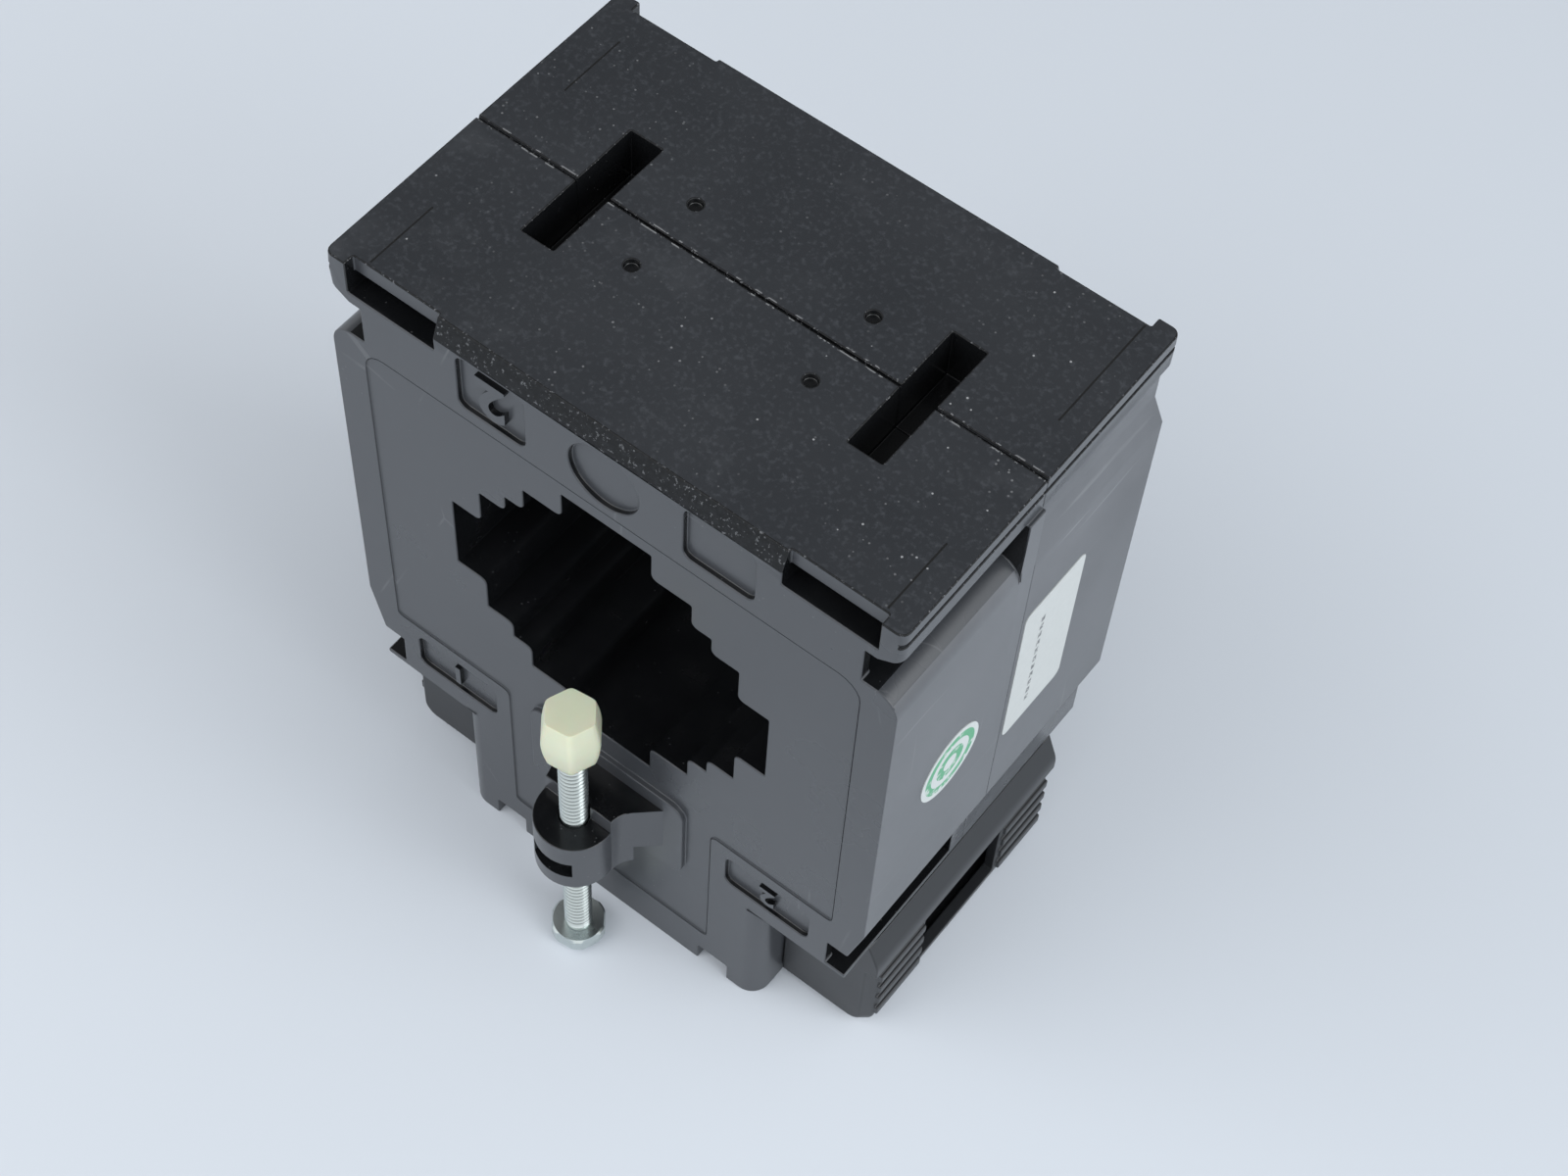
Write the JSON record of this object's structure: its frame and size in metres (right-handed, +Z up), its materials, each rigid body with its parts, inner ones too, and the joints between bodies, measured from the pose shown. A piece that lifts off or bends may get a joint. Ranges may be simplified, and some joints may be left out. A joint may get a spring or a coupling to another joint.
{
  "type": "current transformer",
  "caption": "Window-type current transformer: moulded split housing with a stepped bar opening, clamp bolts with insulating caps, and covered secondary terminals.",
  "frame": {"origin": "under the middle of the part, on the surface that the centre block stands on", "axes": "+X across the front face to its right, +Y through the window from front to rear, +Z up, from the centre block to the plate with the foot rails"},
  "size_m": [0.1071, 0.1002, 0.142],
  "materials": {
    "housing": "fine grain",
    "core": "wound strip",
    "core_case": "moulded",
    "winding": "enamelled wire",
    "tape": "satin tape",
    "pad": "foam",
    "lead": "tinned",
    "terminal": "plain",
    "zinc": "bright zinc",
    "nylon": "moulded, slightly translucent",
    "white_paper": "printed",
    "green_paper": "printed"
  },
  "bodies": {
    "housing": {"front_shell": "housing", "rear_shell": "housing", "toroid_core": "core", "core_case_front": "core_case", "core_case_rear": "core_case", "secondary_winding": "winding", "winding_tape": "tape", "core_pad_front": "pad", "core_pad_rear": "pad", "lead_s1": "lead", "lead_s2": "lead", "terminal_bar_s1": "terminal", "terminal_bar_s2": "terminal", "clamp_nut_front": "zinc", "clamp_nut_rear": "zinc", "white_label": "white_paper", "round_sticker": "green_paper"},
    "cover_s1": {"terminal_cover_s1": "housing"},
    "washer_s1": {"terminal_washer_s1": "zinc"},
    "screw_s1": {"terminal_screw_s1": "zinc"},
    "cover_s2": {"terminal_cover_s2": "housing"},
    "washer_s2": {"terminal_washer_s2": "zinc"},
    "screw_s2": {"terminal_screw_s2": "zinc"},
    "cap_front": {"clamp_cap_front": "nylon"},
    "bolt_front": {"clamp_bolt_front": "zinc"},
    "cap_rear": {"clamp_cap_rear": "nylon"},
    "bolt_rear": {"clamp_bolt_rear": "zinc"}
  },
  "joints": [
    {"name": "cover_slide_s1", "type": "slide", "parent": "housing", "child": "cover_s1", "axis": [-1, 0, 0], "range_m": [0, 0.013]},
    {"name": "washer_lift_s1", "type": "slide", "parent": "housing", "child": "washer_s1", "axis": [0, 0, -1], "range_m": [0, 0.003]},
    {"name": "screw_turn_s1", "type": "hinge", "parent": "washer_s1", "child": "screw_s1", "pos_m": [-0.043, 0, 0.0188], "axis": [0, 0, -1], "range_deg": [0, 1542.87]},
    {"name": "cover_slide_s2", "type": "slide", "parent": "housing", "child": "cover_s2", "axis": [1, 0, 0], "range_m": [0, 0.013]},
    {"name": "washer_lift_s2", "type": "slide", "parent": "housing", "child": "washer_s2", "axis": [0, 0, -1], "range_m": [0, 0.003]},
    {"name": "screw_turn_s2", "type": "hinge", "parent": "washer_s2", "child": "screw_s2", "pos_m": [0.043, 0, 0.0188], "axis": [0, 0, -1], "range_deg": [0, 1542.87]},
    {"name": "clamp_lift_front", "type": "slide", "parent": "housing", "child": "cap_front", "axis": [0, 0, 1], "range_m": [0, 0.026]},
    {"name": "clamp_turn_front", "type": "hinge", "parent": "cap_front", "child": "bolt_front", "pos_m": [0, -0.043, 0.03], "axis": [0, 0, 1], "range_deg": [0, 11700.1]},
    {"name": "clamp_lift_rear", "type": "slide", "parent": "housing", "child": "cap_rear", "axis": [0, 0, 1], "range_m": [0, 0.026]},
    {"name": "clamp_turn_rear", "type": "hinge", "parent": "cap_rear", "child": "bolt_rear", "pos_m": [0, 0.043, 0.03], "axis": [0, 0, 1], "range_deg": [0, 11700.1]}
  ],
  "couplings": [
    {"joint": "screw_turn_s1", "follows": "washer_lift_s1", "rad_per_m": 8976},
    {"joint": "screw_turn_s2", "follows": "washer_lift_s2", "rad_per_m": 8976},
    {"joint": "clamp_turn_front", "follows": "clamp_lift_front", "rad_per_m": 7854},
    {"joint": "clamp_turn_rear", "follows": "clamp_lift_rear", "rad_per_m": 7854}
  ]
}
